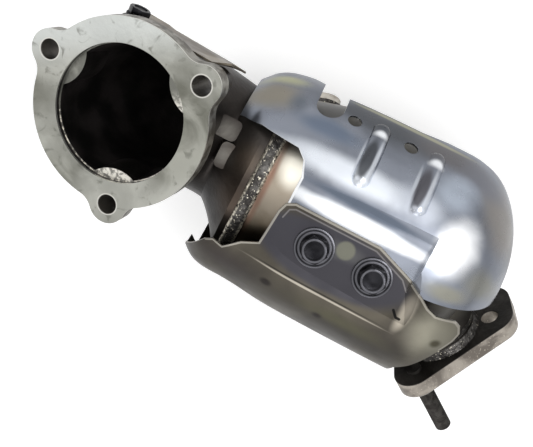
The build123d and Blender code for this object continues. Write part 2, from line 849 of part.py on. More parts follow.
# Small shield: bent sheet on one screw beside the flange
tab_start = m6_x - 1.5 * m6_washer_r
tab_end = m6_x + 0.8 * m6_washer_r
small_tab = [(tab_start, m6_tab_y), (tab_end, m6_tab_y)]
small_rim = [(throat_r - 36, m6_tab_y + 2.3), (throat_r - 1.5, m6_tab_y + 2.8), (throat_r + 8, m6_tab_y + 7)]
small_back = [(throat_r - 36, m6_tab_y - 0.7), (throat_r, m6_tab_y - 0.6), (throat_r + 8.5, m6_tab_y - 1)]
with BuildPart() as inlet_heat_shield:
    add(elbow_shield_rim(small_rim_depth, small_tab + small_rim))
    add(elbow_shield_rim(small_back_depth, small_tab + small_back))
    loft(ruled=True)
    with BuildSketch(m6_plane):
        Circle(m6_r + screw_clearance)
    extrude(amount=m6_sheet_t, mode=Mode.SUBTRACT)
inlet_heat_shield.part.label = "inlet_heat_shield"
export_step(inlet_heat_shield.part, "parts/inlet_heat_shield.step")

# Sensor boss: a threaded bush welded to the inlet cone
with BuildPart() as sensor_boss:
    with BuildSketch(sensor_plane):
        Circle(sensor_boss_r)
        Circle(sensor_thread_r, mode=Mode.SUBTRACT)
    extrude(amount=-sensor_boss_top / 2)
    add(can_outside.part, mode=Mode.SUBTRACT)
    chamfer(sensor_boss.faces().sort_by_distance(sensor_plane.origin)[0].edges(), length=0.6)
sensor_boss.part.label = "sensor_boss"
export_step(sensor_boss.part, "parts/sensor_boss.step")

with BuildPart() as sensor_boss_weld:
    with BuildSketch(sensor_plane.offset(-sensor_weld_drop)):
        Circle(sensor_boss_r + small_bead_height)
        Circle(sensor_boss_r, mode=Mode.SUBTRACT)
    extrude(amount=-sensor_boss_top / 2)
    add(can_outside.part, mode=Mode.SUBTRACT)
sensor_boss_weld.part.label = "sensor_boss_weld"
export_step(sensor_boss_weld.part, "parts/sensor_boss_weld.step")


def turned_blank(seat, radius, height):
    """Round blank on the seat plane with a chamfered top, which rounds off a hexagon's corners."""
    with BuildPart() as blank:
        with BuildSketch(seat):
            Circle(radius)
        extrude(amount=height)
        top = blank.faces().sort_by(Axis(seat.origin, seat.z_dir))[-1]
        chamfer(top.edges(), length=radius * 0.1)
    return blank.part


def hex_bolt(seat, across_flats, head, thread_r, shank):
    """Hexagon bolt whose head stands on the seat plane, with a dished and chamfered top."""
    with BuildPart() as bolt:
        with BuildSketch(seat):
            RegularPolygon(radius=across_flats / 2, side_count=6, major_radius=False)
        extrude(amount=head)
        add(turned_blank(seat, across_flats / sqrt(3), head), mode=Mode.INTERSECT)
        with BuildSketch(seat.offset(head)):
            Circle(across_flats * 0.36)
        extrude(amount=-head * 0.16, mode=Mode.SUBTRACT)
        with BuildSketch(seat):
            Circle(thread_r)
        extrude(amount=-shank)
    return bolt.part


# Fixings of both shields: weld bosses on the can, bolts and washers
for place, x in zip(("front", "rear"), fixing_xs):
    with BuildPart() as boss:
        with BuildSketch(flat_at(x, fixing_offset, flat_height - 2 * sheet_t)):
            Circle(m8_boss_r)
            Circle(m8_r, mode=Mode.SUBTRACT)
        extrude(amount=-m8_boss_r * 2)
        add(can_outside.part, mode=Mode.SUBTRACT)
    boss.part.label = f"{place}_shield_boss"
    export_step(boss.part, f"parts/{place}_shield_boss.step")
    with BuildPart() as washer:
        with BuildSketch(flat_at(x, fixing_offset, flat_height)):
            Circle(m8_washer_r)
            Circle(m8_r, mode=Mode.SUBTRACT)
        extrude(amount=m8_washer_t)
    washer.part.label = f"{place}_shield_washer"
    export_step(washer.part, f"parts/{place}_shield_washer.step")
    with BuildPart() as shield_bolt:
        add(hex_bolt(flat_at(x, fixing_offset, flat_height + m8_washer_t), m8_hex, m8_head, m8_r, m8_shank))
    shield_bolt.part.label = f"{place}_shield_bolt"
    export_step(shield_bolt.part, f"parts/{place}_shield_bolt.step")

with BuildPart() as inlet_shield_washer:
    with BuildSketch(m6_plane.offset(m6_sheet_t)):
        Circle(m6_washer_r)
        Circle(m6_r, mode=Mode.SUBTRACT)
    extrude(amount=m6_washer_t)
inlet_shield_washer.part.label = "inlet_shield_washer"
export_step(inlet_shield_washer.part, "parts/inlet_shield_washer.step")

with BuildPart() as inlet_shield_bolt:
    add(hex_bolt(m6_plane.offset(m6_sheet_t + m6_washer_t), m6_hex, m6_head, m6_r, m6_shank))
inlet_shield_bolt.part.label = "inlet_shield_bolt"
export_step(inlet_shield_bolt.part, "parts/inlet_shield_bolt.step")
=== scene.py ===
"""Look of a close-coupled exhaust catalyst: its finishes, its detailed pieces and the studio round it.

Lengths are in metres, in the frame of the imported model: the origin is the centre of
the inlet gasket face, +X runs along the can and +Z points to the side the inlet faces.
"""

import logging
from dataclasses import dataclass, field
from enum import Enum
from math import cos, pi, radians, sin

import bpy
from mathutils import Matrix, Vector

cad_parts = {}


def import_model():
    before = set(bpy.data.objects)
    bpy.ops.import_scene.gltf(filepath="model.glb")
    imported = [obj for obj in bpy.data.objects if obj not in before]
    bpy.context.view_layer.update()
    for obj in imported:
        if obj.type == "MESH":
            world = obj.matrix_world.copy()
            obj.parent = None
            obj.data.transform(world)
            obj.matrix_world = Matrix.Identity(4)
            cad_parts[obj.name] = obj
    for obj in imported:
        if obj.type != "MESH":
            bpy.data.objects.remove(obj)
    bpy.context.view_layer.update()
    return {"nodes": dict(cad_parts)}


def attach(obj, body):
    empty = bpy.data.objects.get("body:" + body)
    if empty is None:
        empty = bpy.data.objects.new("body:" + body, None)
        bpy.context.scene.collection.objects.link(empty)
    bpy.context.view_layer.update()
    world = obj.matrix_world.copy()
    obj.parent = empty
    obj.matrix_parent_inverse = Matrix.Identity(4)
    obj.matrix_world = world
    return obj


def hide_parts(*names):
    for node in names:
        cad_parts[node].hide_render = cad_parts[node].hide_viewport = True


LOG = logging.getLogger("catalyst")

Colour = tuple[float, float, float]
Point = tuple[float, float, float]
Limits = tuple[float, float]
Socket = bpy.types.NodeSocket

BODY = "root"
X_AXIS: Point = (1.0, 0.0, 0.0)
Y_AXIS: Point = (0.0, 1.0, 0.0)
Z_AXIS: Point = (0.0, 0.0, 1.0)
TILT = radians(10.5)
INLET_NORMAL: Point = (-sin(TILT), 0.0, cos(TILT))
CAN_Y = -0.016
CAN_Z = -0.067
BEAD_X = 0.077
MIDDLE_ANGLE = 135.0
LEDGE_DEPTH = 0.004
PHOTO_UP: Point = (-0.46, 0.814, -0.353)
HOLE_CIRCLE = 0.048
FIXING_XS = (0.119, 0.1525)
FIXING_SIDE = -0.0115
FLAT_TILT = radians(10.0)
FIRST_HOLE = radians(46.7)
OUTLET_SWING = radians(-38.8)
OUTLET_DIP = radians(-12.5)
OUTLET_PIVOT: Point = (0.163, CAN_Y, CAN_Z)
OUTLET_WAY: Point = (
    cos(OUTLET_DIP) * cos(OUTLET_SWING), cos(OUTLET_DIP) * sin(OUTLET_SWING), sin(OUTLET_DIP),
)
CLOUDY: Limits = (0.36, 0.64)
MERGE_PACKED = 0.00001
MERGE_NEW = 0.000002
SMOOTH_ANGLE = 30.0
BEVEL_ANGLE = 40.0


class Grain(Enum):
    """Surface structure of a finish."""

    CAST = "cast"
    SHEET = "sheet"
    PLATE = "plate"
    BEAD = "bead"
    FIBRE = "fibre"


@dataclass(frozen=True)
class Pattern:
    """A noise pattern: its feature size in metres, its octaves of detail and its distortion."""

    size: float
    detail: float
    distortion: float = 0.0


@dataclass(frozen=True)
class Relief:
    """Relief of a grain: its height in metres, a pattern, and a second one with its share."""

    height: float
    first: Pattern
    second: Pattern | None = None
    share: float = 1.0


RELIEFS: dict[Grain, Relief] = {
    Grain.CAST: Relief(0.0006, Pattern(0.0012, 5.0), Pattern(0.006, 3.0), 1.2),
    Grain.SHEET: Relief(0.0012, Pattern(0.012, 2.0, 0.3), Pattern(0.0018, 2.0), 0.06),
    Grain.PLATE: Relief(0.0003, Pattern(0.0009, 3.0), Pattern(0.009, 3.0), 0.8),
    Grain.BEAD: Relief(0.0011, Pattern(0.0011, 3.0), Pattern(0.0026, 2.0, 0.5)),
    Grain.FIBRE: Relief(0.0008, Pattern(0.0015, 4.0, 1.5)),
}


@dataclass(frozen=True)
class Tint:
    """A soft patch of colour round a place on the object; the darkest on the casting is painted shade."""

    centre: Point
    reach: float
    colour: Colour
    strength: float


@dataclass(frozen=True)
class StainAndLight:
    """A soft patch on a part that goes round the can, placed by x and by the angle from +Y; such patches hold
    stains and painted highlights, reflections and shade.
    """

    x: float
    angle: float
    length: float
    width: float
    colour: Colour
    strength: float
    crisp: float = 0.0


@dataclass(frozen=True)
class Ring:
    """A round mark on the flat, or a disc with radius 0, placed by x and the offset towards +Y."""

    x: float
    side: float
    radius: float
    half_width: float
    colour: Colour
    strength: float


@dataclass(frozen=True)
class PaintedLightLine:
    """A thin line of painted light, drawn from above, through points given as x and the offset from the can
    axis.
    """

    points: tuple[tuple[float, float], ...]
    half_width: float
    colour: Colour
    strength: float


@dataclass(frozen=True)
class Finish:
    """Colours and surface of one finish, from which its material is built.

    The speck colour is also that of a pressed sheet's cut edges, which are painted highlight.
    """

    name: str
    light: Colour
    dark: Colour
    grain: Grain
    patch_size: float = 0.02
    metallic: float = 1.0
    smooth: float = 0.25
    rough: float = 0.45
    relief: float = 0.15
    speck: Colour = (0.6, 0.57, 0.5)
    speck_share: float = 0.0
    tints: tuple[Tint, ...] = ()
    stains_and_light: tuple[StainAndLight, ...] = ()
    rings: tuple[Ring, ...] = ()
    painted_light_lines: tuple[PaintedLightLine, ...] = ()


class NodeSheet:
    """A small helper that lays out shader nodes and joins them."""

    def __init__(self, name: str) -> None:
        """Start an empty material.

        Args:
            name: The material's name.
        """
        self.material = bpy.data.materials.new(name)
        self.material.use_nodes = True
        self.tree = self.material.node_tree
        self.tree.nodes.clear()
        self.shader = self.tree.nodes.new("ShaderNodeBsdfPrincipled")
        output = self.tree.nodes.new("ShaderNodeOutputMaterial")
        self.link(self.shader.outputs["BSDF"], output.inputs["Surface"])
        self.place = self.tree.nodes.new("ShaderNodeTexCoord").outputs["Object"]
        self.angle: Socket | None = None

    def link(self, source: Socket, target: Socket) -> None:
        """Join two sockets."""
        self.tree.links.new(source, target)

    def noise(self, size: float, detail: float, distortion: float = 0.0) -> Socket:
        """Noise whose features are about a size across.

        Args:
            size: Feature size in metres.
            detail: Octaves of finer noise.
            distortion: How much the pattern is pulled about.

        Returns:
            The noise's factor socket.
        """
        node = self.tree.nodes.new("ShaderNodeTexNoise")
        node.inputs["Scale"].default_value = 0.5 / size
        node.inputs["Detail"].default_value = detail
        node.inputs["Distortion"].default_value = distortion
        self.link(self.place, node.inputs["Vector"])
        return node.outputs["Fac"]

    def pattern(self, pattern: Pattern) -> Socket:
        """Noise of a pattern."""
        return self.noise(pattern.size, pattern.detail, pattern.distortion)

    def ranged(
        self, value: Socket, low: float, high: float, to_low: float = 0.0, to_high: float = 1.0
    ) -> Socket:
        """Map a value's range to another one, clamped.

        Args:
            value: The socket that is mapped.
            low: Value that becomes to_low.
            high: Value that becomes to_high.
            to_low: Result at low.
            to_high: Result at high.

        Returns:
            The mapped socket.
        """
        node = self.tree.nodes.new("ShaderNodeMapRange")
        node.interpolation_type = "SMOOTHSTEP"
        limits = (("From Min", low), ("From Max", high), ("To Min", to_low), ("To Max", to_high))
        for name, number in limits:
            node.inputs[name].default_value = number
        self.link(value, node.inputs["Value"])
        return node.outputs["Result"]

    def math(self, operation: str, first: Socket, second: Socket | float = 0.0) -> Socket:
        """Join two numbers by an operation, or apply one that takes the first alone.

        Args:
            operation: Name of the math operation.
            first: First socket.
            second: Second socket or number.

        Returns:
            The result's socket.
        """
        node = self.tree.nodes.new("ShaderNodeMath")
        node.operation = operation
        self.link(first, node.inputs[0])
        if isinstance(second, (int, float)):
            node.inputs[1].default_value = second
        else:
            self.link(second, node.inputs[1])
        return node.outputs[0]

    def times(self, first: Socket, second: Socket | float) -> Socket:
        """Product of two numbers."""
        return self.math("MULTIPLY", first, second)

    def plus(self, first: Socket, second: Socket | float) -> Socket:
        """Sum of two numbers."""
        return self.math("ADD", first, second)

    def minus(self, first: Socket, second: Socket | float) -> Socket:
        """Difference of two numbers."""
        return self.math("SUBTRACT", first, second)

    def off(self, value: Socket, centre: float) -> Socket:
        """How far a value is from a centre, to either side."""
        return self.math("ABSOLUTE", self.minus(value, centre))

    def mix(self, share: Socket, first: Socket | Colour, second: Socket | Colour) -> Socket:
        """Mix two colours.

        Args:
            share: Share of the second colour.
            first: Colour or socket at share 0.
            second: Colour or socket at share 1.

        Returns:
            The mixed colour's socket.
        """
        node = self.tree.nodes.new("ShaderNodeMix")
        node.data_type = "RGBA"
        self.link(share, node.inputs["Factor"])
        for value, target in ((first, node.inputs[6]), (second, node.inputs[7])):
            if isinstance(value, tuple):
                target.default_value = (*value, 1.0)
            else:
                self.link(value, target)
        return node.outputs[2]

    def blend(
        self, value: Socket, limits: Limits, first: Socket | Colour, second: Socket | Colour
    ) -> Socket:
        """Pass from one colour to another as a value goes from one limit to the other.

        Args:
            value: The socket that decides.
            limits: Values of the first and of the second colour.
            first: Colour or socket at the first limit.
            second: Colour or socket at the second limit.

        Returns:
            The mixed colour's socket.
        """
        return self.mix(self.ranged(value, *limits), first, second)

    def vector(self, operation: str, first: Socket, second: Point) -> bpy.types.Node:
        """Add a vector node that joins a socket and a fixed vector."""
        node = self.tree.nodes.new("ShaderNodeVectorMath")
        node.operation = operation
        node.inputs[1].default_value = second
        self.link(first, node.inputs[0])
        return node

    def length(self, way: Socket) -> Socket:
        """Length of a vector."""
        node = self.tree.nodes.new("ShaderNodeVectorMath")
        node.operation = "LENGTH"
        self.link(way, node.inputs[0])
        return node.outputs["Value"]

    def distance(self, centre: Point) -> Socket:
        """Distance from a place in metres."""
        return self.length(self.vector("SUBTRACT", self.place, centre).outputs[0])

    def along(self, direction: Point) -> Socket:
        """Signed distance from the origin along a direction."""
        return self.vector("DOT_PRODUCT", self.place, direction).outputs["Value"]

    def around(self) -> Socket:
        """Angle in degrees round the can axis, from -45 to 315, counted from +Y."""
        if self.angle is None:
            turn = radians(MIDDLE_ANGLE)
            across = self.minus(self.along(Y_AXIS), CAN_Y)
            upwards = self.minus(self.along(Z_AXIS), CAN_Z)
            ahead = self.plus(self.times(across, cos(turn)), self.times(upwards, sin(turn)))
            aside = self.plus(self.times(across, -sin(turn)), self.times(upwards, cos(turn)))
            turned = self.times(self.math("ARCTAN2", aside, ahead), 180 / pi)
            self.angle = self.plus(turned, MIDDLE_ANGLE)
        return self.angle

    def span(self, first: Socket, second: Socket) -> Socket:
        """Length of a vector that has two parts."""
        return self.math("SQRT", self.plus(self.times(first, first), self.times(second, second)))

    def patch(self, stain_and_light: StainAndLight, wobble: Socket) -> Socket:
        """Share of a patch at each place.

        Args:
            stain_and_light: The patch.
            wobble: Noise that makes its edge uneven.

        Returns:
            The share's socket.
        """
        run = self.math("DIVIDE", self.minus(self.along(X_AXIS), stain_and_light.x), stain_and_light.length)
        turn = self.math("DIVIDE", self.minus(self.around(), stain_and_light.angle), stain_and_light.width)
        reach = self.plus(self.span(run, turn), wobble)
        return self.ranged(reach, 1.0, stain_and_light.crisp, 0.0, stain_and_light.strength)

    def near(self, points: tuple[tuple[float, float], ...]) -> Socket:
        """Distance, seen from above, from a line through points.

        Args:
            points: The line's points, as x and the offset from the can axis.

        Returns:
            The distance's socket.
        """
        level = self.vector("MULTIPLY", self.place, (1.0, 1.0, 0.0)).outputs[0]
        nearest = None
        for (x0, y0), (x1, y1) in zip(points, points[1:]):
            run = Vector((x1 - x0, y1 - y0, 0.0))
            start = (x0, CAN_Y + y0, 0.0)
            shift = self.vector("SUBTRACT", level, start).outputs[0]
            share = self.vector("DOT_PRODUCT", shift, tuple(run / run.length_squared)).outputs["Value"]
            share = self.math("MAXIMUM", self.math("MINIMUM", share, 1.0), 0.0)
            foot = self.tree.nodes.new("ShaderNodeVectorMath")
            foot.operation = "SCALE"
            foot.inputs[0].default_value = run
            self.link(share, foot.inputs["Scale"])
            gap = self.tree.nodes.new("ShaderNodeVectorMath")
            gap.operation = "DISTANCE"
            self.link(shift, gap.inputs[0])
            self.link(foot.outputs[0], gap.inputs[1])
            reach = gap.outputs["Value"]
            nearest = reach if nearest is None else self.math("MINIMUM", nearest, reach)
        return nearest

    def normal(self) -> Socket:
        """Normal of the mesh's own faces."""
        return self.tree.nodes.new("ShaderNodeNewGeometry").outputs["True Normal"]

    def facing(self, direction: Point) -> Socket:
        """How squarely the surface faces a direction or its opposite, from 0 to 1."""
        return self.math("ABSOLUTE", self.vector("DOT_PRODUCT", self.normal(), direction).outputs["Value"])

    def facing_out(self) -> Socket:
        """How squarely the surface faces away from the can axis, from 0 to 1."""
        spread = self.vector("SUBTRACT", self.place, (0.0, CAN_Y, CAN_Z)).outputs[0]
        flat = self.vector("MULTIPLY", spread, (0.0, 1.0, 1.0)).outputs[0]
        way = self.tree.nodes.new("ShaderNodeVectorMath")
        way.operation = "NORMALIZE"
        self.link(flat, way.inputs[0])
        node = self.tree.nodes.new("ShaderNodeVectorMath")
        node.operation = "DOT_PRODUCT"
        self.link(way.outputs[0], node.inputs[0])
        self.link(self.normal(), node.inputs[1])
        return self.math("ABSOLUTE", node.outputs["Value"])

    def bump(self, height: Socket, depth: float, strength: float) -> None:
        """Give the shader a relief.

        Args:
            height: Height map's socket, from 0 to 1.
            depth: Height in metres at 1.
            strength: Share of the relief that shows.
        """
        node = self.tree.nodes.new("ShaderNodeBump")
        node.inputs["Distance"].default_value = depth
        node.inputs["Strength"].default_value = strength
        self.link(height, node.inputs["Height"])
        self.link(node.outputs["Normal"], self.shader.inputs["Normal"])


class MetalMaterial:
    """Builds the material of a finish."""

    SPECK_SIZE = 0.0006
    SPECK_LIMITS: Limits = (0.66, 0.72)
    SPECK_GAIN = 0.12

    def __init__(self, finish: Finish) -> None:
        """Keep the finish and start its nodes.

        Args:
            finish: The finish that is built.
        """
        self.finish = finish
        self.sheet = NodeSheet(finish.name)

    def colour(self) -> Socket:
        """Patches, tints, stains, lines, rings and specks of the finish.

        Returns:
            The colour's socket.
        """
        finish, sheet = self.finish, self.sheet
        patches = sheet.noise(finish.patch_size, 6.0, 0.6)
        colour = sheet.blend(patches, CLOUDY, finish.dark, finish.light)
        colour = self.ringed(self.lined(self.stained_and_lit(self.tinted(colour))))
        if finish.speck_share > 0:
            shift = self.SPECK_GAIN * finish.speck_share
            low, high = self.SPECK_LIMITS
            fine = sheet.noise(self.SPECK_SIZE, 2.0)
            colour = sheet.blend(fine, (low - shift, high - shift), colour, finish.speck)
        return colour

    def tinted(self, colour: Socket) -> Socket:
        """The colour with the finish's tints, each broken up by noise."""
        finish, sheet = self.finish, self.sheet
        for tint in finish.tints:
            near = sheet.ranged(sheet.distance(tint.centre), tint.reach, 0.0, 0.0, tint.strength)
            broken = sheet.ranged(sheet.noise(finish.patch_size * 0.8, 5.0, 0.4), 0.2, 0.5, 0.6, 1.0)
            colour = sheet.mix(sheet.times(near, broken), colour, tint.colour)
        return colour

    def stained_and_lit(self, colour: Socket) -> Socket:
        """The colour with the finish's patches of stain and painted light, whose edges are uneven."""
        finish, sheet = self.finish, self.sheet
        if finish.stains_and_light:
            wobble = sheet.times(sheet.minus(sheet.noise(finish.patch_size * 0.7, 5.0, 0.5), 0.5), 0.9)
            for stain_and_light in finish.stains_and_light:
                share = sheet.patch(stain_and_light, sheet.times(wobble, 1.0 - stain_and_light.crisp))
                colour = sheet.mix(share, colour, stain_and_light.colour)
        return colour

    def lined(self, colour: Socket) -> Socket:
        """The colour with the finish's lines of painted highlight and shade."""
        sheet = self.sheet
        for painted_line in self.finish.painted_light_lines:
            reach = sheet.near(painted_line.points)
            share = sheet.ranged(reach, painted_line.half_width, painted_line.half_width * 0.6, 0.0, painted_line.strength)
            colour = sheet.mix(share, colour, painted_line.colour)
        return colour

    def ringed(self, colour: Socket) -> Socket:
        """The colour with the finish's rings, which lie in the plane of the flat."""
        sheet = self.sheet
        level = (0.0, cos(FLAT_TILT), -sin(FLAT_TILT))
        for ring in self.finish.rings:
            start = CAN_Y * level[1] + CAN_Z * level[2] + ring.side
            run = sheet.minus(sheet.along(X_AXIS), ring.x)
            reach = sheet.span(run, sheet.minus(sheet.along(level), start))
            off = sheet.off(reach, ring.radius)
            share = sheet.ranged(off, ring.half_width, ring.half_width * 0.7, 0.0, ring.strength)
            colour = sheet.mix(share, colour, ring.colour)
        return colour

    def relief(self) -> None:
        """Give the shader the relief of the finish's grain."""
        relief, sheet = RELIEFS[self.finish.grain], self.sheet
        height = sheet.pattern(relief.first)
        if relief.second is not None:
            height = sheet.plus(height, sheet.times(sheet.pattern(relief.second), relief.share))
        sheet.bump(height, relief.height, self.finish.relief)

    def build(self) -> bpy.types.Material:
        """Lay out the whole material.

        Returns:
            The finished material.
        """
        finish, sheet = self.finish, self.sheet
        sheet.link(self.colour(), sheet.shader.inputs["Base Color"])
        sheet.shader.inputs["Metallic"].default_value = finish.metallic
        cloudy = sheet.noise(finish.patch_size * 0.5, 5.0)
        rough = sheet.ranged(cloudy, 0.3, 0.7, finish.smooth, finish.rough)
        sheet.link(rough, sheet.shader.inputs["Roughness"])
        self.relief()
        return sheet.material


class PressedMaterial(MetalMaterial):
    """Pressed sheet whose cut edges are painted bright as highlight."""

    CUT: Limits = (0.02, 0.005)
    ASIDE: Limits = (0.95, 0.9)
    ACROSS: Limits = (0.4, 0.25)
    MIDDLE_X = 0.12
    STRAIGHT: Limits = (0.053, 0.05)
    EDGE_HIGHLIGHT_SHARE = 0.9

    def colour(self) -> Socket:
        """The finish with the edges of the sheet picked out in painted highlight.

        The edges were cut level with Y or upright, and the crown faces away from the can axis.

        Returns:
            The colour's socket.
        """
        sheet = self.sheet
        metal = super().colour()
        upright = sheet.ranged(sheet.facing(Z_AXIS), *self.CUT)
        level = sheet.ranged(sheet.facing(Y_AXIS), *self.CUT)
        aside = sheet.ranged(sheet.facing_out(), *self.ASIDE)
        cut = sheet.times(sheet.math("MAXIMUM", upright, level), aside)
        straight = sheet.ranged(sheet.off(sheet.along(X_AXIS), self.MIDDLE_X), *self.STRAIGHT)
        across = sheet.times(straight, sheet.ranged(sheet.facing_out(), *self.ACROSS))
        share = sheet.times(sheet.math("MAXIMUM", cut, across), self.EDGE_HIGHLIGHT_SHARE)
        return sheet.mix(share, metal, self.finish.speck)


class CastingMaterial(MetalMaterial):
    """Dark casting whose gasket face is machined bright and whose bore is painted near black.

    The limits are depths under the gasket face or distances from an axis, in metres.
    """

    SIDE_ENDS: Limits = (0.0112, 0.0098)
    FACE_ENDS: Limits = (0.0004, 0.0001)
    BORE_WALL: Limits = (0.0362, 0.0358)
    BORE_STARTS: Limits = (0.0001, 0.0003)
    LIP_ENDS: Limits = (0.0016, 0.001)
    LINE_ENDS: Limits = (0.0014, 0.0008)
    LEDGE_HALF: Limits = (0.0004, 0.0002)
    HOLE_RIM: Limits = (0.0061, 0.0056)
    HOLE_WALL: Limits = (0.0055, 0.0054)
    HOLE_STARTS: Limits = (0.0004, 0.0009)
    HOLES = 3

    def colour(self) -> Socket:
        """Cast skin, machined face and near-black bore, told apart by the depth under the face.

        Returns:
            The colour's socket.
        """
        sheet = self.sheet
        cast = super().colour()
        depth = sheet.times(sheet.along(INLET_NORMAL), -1.0)
        colour = sheet.blend(depth, self.SIDE_ENDS, cast, self.side(depth))
        colour = sheet.blend(depth, self.FACE_ENDS, colour, self.face())
        wall = sheet.ranged(self.off_axis(0.0, 0.0), *self.BORE_WALL)
        inside = sheet.times(wall, sheet.ranged(depth, *self.BORE_STARTS))
        colour = sheet.mix(inside, colour, self.bore(depth))
        for hole in range(self.HOLES):
            turn = FIRST_HOLE + hole * 2 * pi / self.HOLES
            reach = self.off_axis(HOLE_CIRCLE * cos(turn), HOLE_CIRCLE * sin(turn))
            # The bright rim round each hole is a painted highlight on its edge.
            rim = sheet.ranged(reach, *self.HOLE_RIM, 0.0, 0.75)
            colour = sheet.mix(rim, colour, (0.66, 0.65, 0.6))
            wall = sheet.times(sheet.ranged(reach, *self.HOLE_WALL), sheet.ranged(depth, *self.HOLE_STARTS))
            colour = sheet.mix(wall, colour, (0.11, 0.1, 0.085))
        return colour

    def off_axis(self, x: float, y: float) -> Socket:
        """Distance from a line square to the gasket face.

        Args:
            x: The line's place on the face, towards the can.
            y: The line's place on the face, along Y.

        Returns:
            The distance's socket.
        """
        sheet = self.sheet
        start = (x * cos(TILT), y, x * sin(TILT))
        shift = sheet.vector("SUBTRACT", sheet.place, start).outputs[0]
        return sheet.length(sheet.vector("CROSS_PRODUCT", shift, INLET_NORMAL).outputs[0])

    def face(self) -> Socket:
        """Machined gasket face: pale, greenish and cloudy, with rubbed and stained places, and paler towards
        its top as painted highlight.
        """
        sheet = self.sheet
        face = sheet.blend(sheet.noise(0.013, 6.0, 0.9), CLOUDY, (0.15, 0.15, 0.125), (0.34, 0.34, 0.3))
        wide = sheet.ranged(sheet.noise(0.03, 3.0, 0.4), 0.42, 0.6, 0.0, 0.5)
        face = sheet.mix(wide, face, (0.5, 0.5, 0.46))
        # Painted highlight: the face turns paler towards its top.
        crown = sheet.ranged(sheet.along(PHOTO_UP), 0.02, 0.042, 0.0, 0.85)
        face = sheet.mix(crown, face, (0.58, 0.6, 0.58))
        grime = sheet.ranged(sheet.noise(0.0045, 6.0, 1.2), 0.56, 0.7, 0.0, 0.6)
        return sheet.mix(grime, face, (0.12, 0.12, 0.1))

    def side(self, depth: Socket) -> Socket:
        """Side of the flange: a bright line of painted highlight under the face, then dull metal.

        Args:
            depth: Depth under the face.

        Returns:
            The colour's socket.
        """
        sheet = self.sheet
        rubbed = sheet.blend(sheet.noise(0.003, 5.0), (0.4, 0.62), (0.11, 0.1, 0.085), (0.3, 0.29, 0.26))
        return sheet.blend(depth, self.LINE_ENDS, rubbed, (0.68, 0.67, 0.62))

    def bore(self, depth: Socket) -> Socket:
        """Inside of the neck: a bright lip of painted highlight, pale ledges and then near black.

        Args:
            depth: Depth under the face.

        Returns:
            The colour's socket.
        """
        sheet = self.sheet
        near_black = sheet.blend(sheet.noise(0.009, 5.0), (0.35, 0.65), (0.018, 0.017, 0.016), (0.05, 0.043, 0.042))
        # The bright lip is a painted highlight on the chamfer round the bore.
        near_black = sheet.blend(depth, self.LIP_ENDS, near_black, (0.5, 0.5, 0.46))
        grit = sheet.blend(sheet.noise(0.0009, 4.0), (0.42, 0.58), (0.24, 0.23, 0.21), (0.76, 0.73, 0.66))
        smooth = sheet.blend(sheet.noise(0.004, 3.0), (0.4, 0.6), (0.17, 0.17, 0.15), (0.27, 0.27, 0.24))
        ledges = sheet.blend(sheet.along(PHOTO_UP), (0.0, 0.012), grit, smooth)
        return sheet.blend(sheet.off(depth, LEDGE_DEPTH), self.LEDGE_HALF, near_black, ledges)


class BeadMaterial(MetalMaterial):
    """Coarse weld bead whose two toes are silvery with spatter."""

    TOE: Limits = (0.002, 0.0032)

    def colour(self) -> Socket:
        """Dark slag with bright toes.

        Returns:
            The colour's socket.
        """
        sheet = self.sheet
        slag = super().colour()
        aside = sheet.ranged(sheet.off(sheet.along(X_AXIS), BEAD_X), *self.TOE)
        toe = sheet.times(aside, sheet.ranged(sheet.noise(0.0008, 4.0), 0.38, 0.5))
        return sheet.mix(toe, slag, (0.72, 0.67, 0.56))


class PlateMaterial(MetalMaterial):
    """Cut plate whose back face is near black and whose edge is worn pale."""

    BACK_FACE: Limits = (0.0744, 0.074)
    GASKET_FACE: Limits = (0.0833, 0.0836)

    def colour(self) -> Socket:
        """Edge colours between the two faces, told apart by the reach along the outlet.

        Returns:
            The colour's socket.
        """
        sheet = self.sheet
        edge = super().colour()
        start = sum(a * b for a, b in zip(OUTLET_PIVOT, OUTLET_WAY))
        reach = sheet.minus(sheet.along(OUTLET_WAY), start)
        near_black = sheet.blend(sheet.noise(0.01, 5.0), (0.35, 0.65), (0.02, 0.018, 0.016), (0.05, 0.045, 0.04))
        rubbed = sheet.blend(reach, self.BACK_FACE, edge, near_black)
        return sheet.blend(reach, self.GASKET_FACE, rubbed, (0.3, 0.29, 0.27))


class HoneycombMaterial(MetalMaterial):
    """Ceramic brick with the square cells of its two ends."""

    CELL = 0.0013
    WALL_SHARE = 0.2

    def colour(self) -> Socket:
        """Fired clay with dark square cells.

        Returns:
            The colour's socket.
        """
        sheet = self.sheet
        clay = super().colour()
        cells = []
        for axis in (Y_AXIS, Z_AXIS):
            wave = sheet.math("FRACT", sheet.times(sheet.along(axis), 1 / self.CELL))
            cells.append(sheet.math("GREATER_THAN", wave, self.WALL_SHARE))
        return sheet.mix(sheet.times(cells[0], cells[1]), clay, (0.05, 0.045, 0.04))


